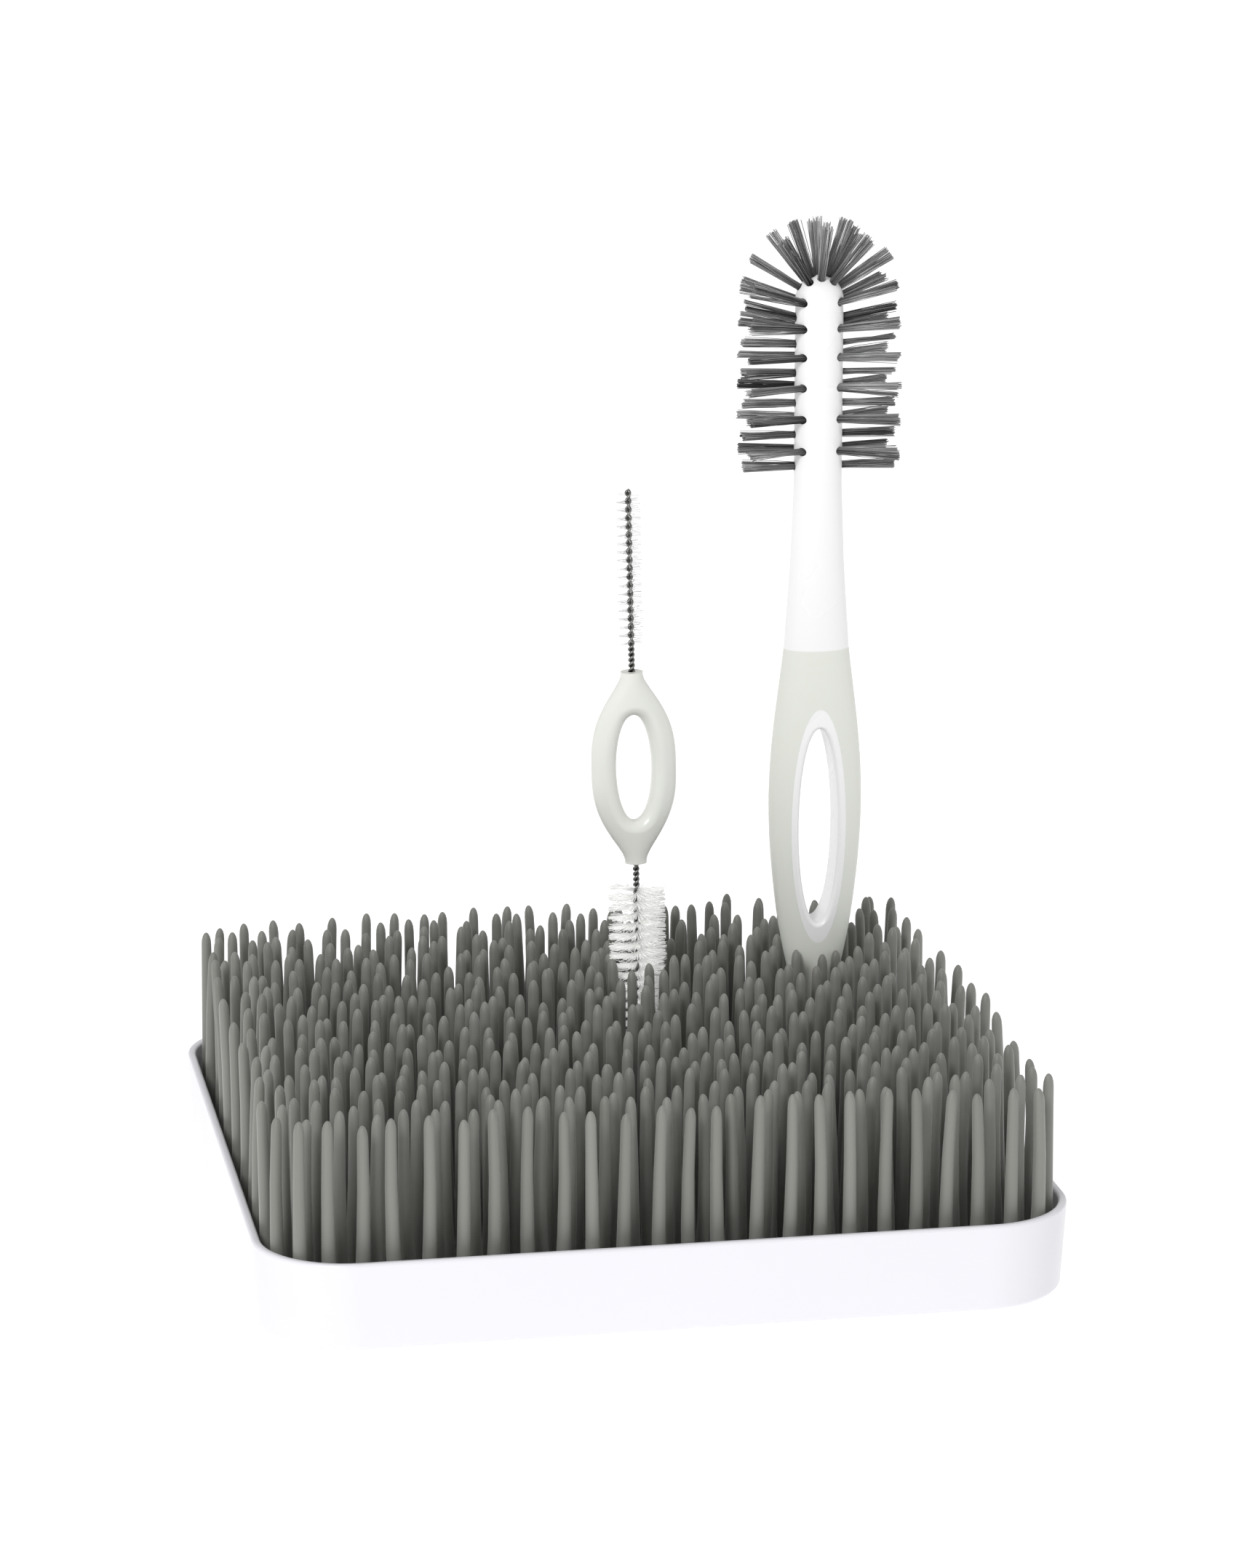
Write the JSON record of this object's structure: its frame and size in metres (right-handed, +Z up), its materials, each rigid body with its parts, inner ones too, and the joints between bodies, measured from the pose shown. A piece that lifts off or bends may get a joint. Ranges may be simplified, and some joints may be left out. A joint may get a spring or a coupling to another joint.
{
  "type": "bottle drying rack",
  "caption": "Square drying tray with a lift-out insert of soft upright blades that hold bottles, plus a bottle brush and a double-ended detail brush standing in it.",
  "frame": {"origin": "centre of the tray's underside, on the surface that it stands on", "axes": "+Z up, -Y towards the front, +X to the right; the tray is square to X and Y"},
  "size_m": [0.2408, 0.2408, 0.2973],
  "materials": {
    "tray": "gloss",
    "blade": "satin",
    "brush_core": "gloss",
    "grip": "satin",
    "tuft": "satin",
    "detail_handle": "satin",
    "wire": "polished",
    "clear_bristle": "clear"
  },
  "bodies": {
    "tray": {"tray": "tray"},
    "insert": {"insert_floor": "blade", "insert_pegs": "blade", "blade_row_01": "blade", "blade_row_02": "blade", "blade_row_03": "blade", "blade_row_04": "blade", "blade_row_05": "blade", "blade_row_06": "blade", "blade_row_07": "blade", "blade_row_08": "blade", "blade_row_09": "blade", "blade_row_10": "blade", "blade_row_11": "blade", "blade_row_12": "blade", "blade_row_13": "blade", "blade_row_14": "blade", "blade_row_15": "blade", "blade_row_16": "blade", "blade_row_17": "blade", "blade_row_18": "blade", "blade_row_19": "blade", "blade_row_20": "blade", "blade_row_21": "blade", "blade_row_22": "blade", "blade_row_23": "blade"},
    "bottle_brush": {"brush_core": "brush_core", "brush_grip": "grip", "tufts_left": "tuft", "tufts_right": "tuft", "tufts_crown": "tuft"},
    "detail_brush": {"detail_handle": "detail_handle", "straw_wire": "wire", "straw_bristles": "clear_bristle", "teat_wire": "wire", "teat_bristles": "clear_bristle"}
  },
  "joints": [
    {"name": "insert_lift", "type": "slide", "parent": "tray", "child": "insert", "axis": [0, 0, 1], "range_m": [0, 0.045]},
    {"name": "bottle_brush_lift", "type": "slide", "parent": "insert", "child": "bottle_brush", "axis": [0, 0, 1], "range_m": [0, 0.06]},
    {"name": "detail_brush_lift", "type": "slide", "parent": "insert", "child": "detail_brush", "axis": [0, 0, 1], "range_m": [0, 0.06]}
  ]
}
